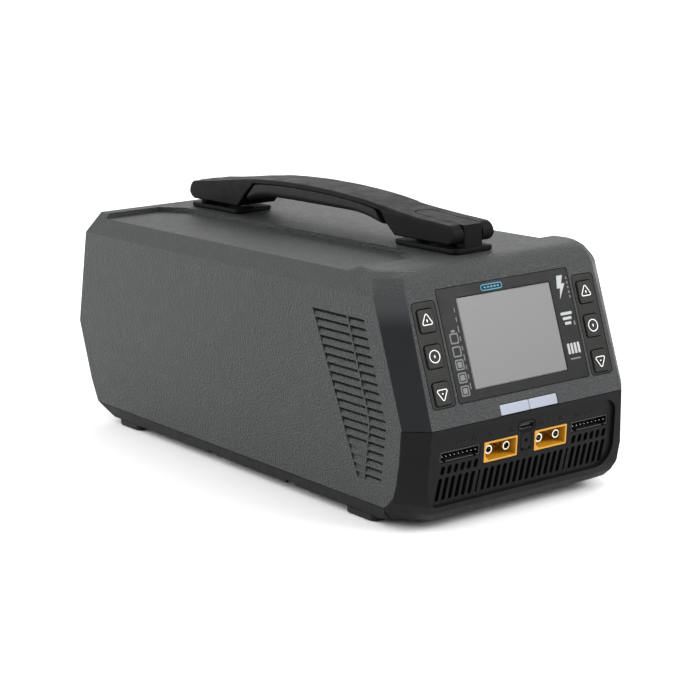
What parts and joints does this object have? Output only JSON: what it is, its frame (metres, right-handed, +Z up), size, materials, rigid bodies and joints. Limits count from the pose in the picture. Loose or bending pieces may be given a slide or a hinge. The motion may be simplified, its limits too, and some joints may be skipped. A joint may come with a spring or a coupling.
{
  "type": "balance battery charger",
  "caption": "Bench battery charger: grey case with slanted display face, side keys, two power and two balance sockets, grilles and a carrying handle.",
  "frame": {"origin": "bottom centre of the bounding box, on the plane that the feet stand on", "axes": "+Z up, -Y towards the display and sockets, +X to the right as seen from the front"},
  "size_m": [0.1374, 0.3226, 0.1448],
  "materials": {
    "grey_shell": "fine leather-like moulded grain",
    "black_plastic": "fine spark-eroded texture",
    "soft_rubber": "matte",
    "tinted_window": "satin printed window",
    "screen_face": "unlit screen, satin",
    "light_guide": "milky diffuser",
    "key_strip": "satin",
    "key_cap": "satin with printed white icons",
    "amber_nylon": "moulded nylon",
    "pin_metal": "plated",
    "socket_plastic": "moulded",
    "circuit_board": "solder mask",
    "heat_sink_metal": "extruded",
    "capacitor_sleeve": "shrink sleeve",
    "ferrite": "taped core",
    "copper_winding": "enamelled wire",
    "plated_screw": "black-plated",
    "handle_plastic": "fine grain",
    "rocker_plastic": "satin",
    "fan_plastic": "moulded"
  },
  "bodies": {
    "charger": {"ac_inlet": "black_plastic", "balance_socket_left": "socket_plastic", "balance_socket_right": "socket_plastic", "bottom_pan": "black_plastic", "bracket_front": "handle_plastic", "bracket_rear": "handle_plastic", "bracket_screw_1": "plated_screw", "bracket_screw_2": "plated_screw", "bracket_screw_3": "plated_screw", "bracket_screw_4": "plated_screw", "capacitor_left": "capacitor_sleeve", "capacitor_right": "capacitor_sleeve", "dc_input_housing": "amber_nylon", "dc_input_pin_a": "pin_metal", "dc_input_pin_b": "pin_metal", "display_board": "circuit_board", "display_screen": "screen_face", "display_window": "tinted_window", "fan_frame_left": "fan_plastic", "fan_frame_right": "fan_plastic", "foot_front_left": "soft_rubber", "foot_front_right": "soft_rubber", "foot_rear_left": "soft_rubber", "foot_rear_right": "soft_rubber", "front_bezel": "black_plastic", "grip_insert": "soft_rubber", "handle_grip": "handle_plastic", "heat_sink_left": "heat_sink_metal", "heat_sink_right": "heat_sink_metal", "inductor": "copper_winding", "key_board_left": "circuit_board", "key_board_right": "circuit_board", "key_strip_left": "key_strip", "key_strip_right": "key_strip", "light_bar": "light_guide", "main_board": "circuit_board", "main_shell": "grey_shell", "output_board": "circuit_board", "output_left_housing": "amber_nylon", "output_left_pin_a": "pin_metal", "output_left_pin_b": "pin_metal", "output_right_housing": "amber_nylon", "output_right_pin_a": "pin_metal", "output_right_pin_b": "pin_metal", "rear_panel": "black_plastic", "rocker_frame": "black_plastic", "service_insert": "black_plastic", "supply_board": "circuit_board", "transformer": "ferrite", "usb_port": "black_plastic"},
    "key_left_1": {"key_left_1": "key_cap"},
    "key_left_2": {"key_left_2": "key_cap"},
    "key_left_3": {"key_left_3": "key_cap"},
    "key_right_1": {"key_right_1": "key_cap"},
    "key_right_2": {"key_right_2": "key_cap"},
    "key_right_3": {"key_right_3": "key_cap"},
    "fan_rotor_left": {"fan_rotor_left": "fan_plastic"},
    "fan_rotor_right": {"fan_rotor_right": "fan_plastic"},
    "power_rocker": {"power_rocker": "rocker_plastic"}
  },
  "joints": [
    {"name": "key_left_1_press", "type": "slide", "parent": "charger", "child": "key_left_1", "axis": [0, 0.9533, -0.3019], "range_m": [0, 0.0006], "stiffness_N_per_m": 600},
    {"name": "key_left_2_press", "type": "slide", "parent": "charger", "child": "key_left_2", "axis": [0, 0.9533, -0.3019], "range_m": [0, 0.0006], "stiffness_N_per_m": 600},
    {"name": "key_left_3_press", "type": "slide", "parent": "charger", "child": "key_left_3", "axis": [0, 0.9533, -0.3019], "range_m": [0, 0.0006], "stiffness_N_per_m": 600},
    {"name": "key_right_1_press", "type": "slide", "parent": "charger", "child": "key_right_1", "axis": [0, 0.9533, -0.3019], "range_m": [0, 0.0006], "stiffness_N_per_m": 600},
    {"name": "key_right_2_press", "type": "slide", "parent": "charger", "child": "key_right_2", "axis": [0, 0.9533, -0.3019], "range_m": [0, 0.0006], "stiffness_N_per_m": 600},
    {"name": "key_right_3_press", "type": "slide", "parent": "charger", "child": "key_right_3", "axis": [0, 0.9533, -0.3019], "range_m": [0, 0.0006], "stiffness_N_per_m": 600},
    {"name": "fan_spin_left", "type": "hinge", "parent": "charger", "child": "fan_rotor_left", "pos_m": [-0.031, 0.1288, 0.084], "axis": [0, 1, 0], "continuous": true},
    {"name": "fan_spin_right", "type": "hinge", "parent": "charger", "child": "fan_rotor_right", "pos_m": [0.031, 0.1288, 0.084], "axis": [0, 1, 0], "continuous": true},
    {"name": "power_rocker_tilt", "type": "hinge", "parent": "charger", "child": "power_rocker", "pos_m": [-0.004, 0.1381, 0.034], "axis": [1, 0, 0], "range_deg": [-20, 0]}
  ]
}
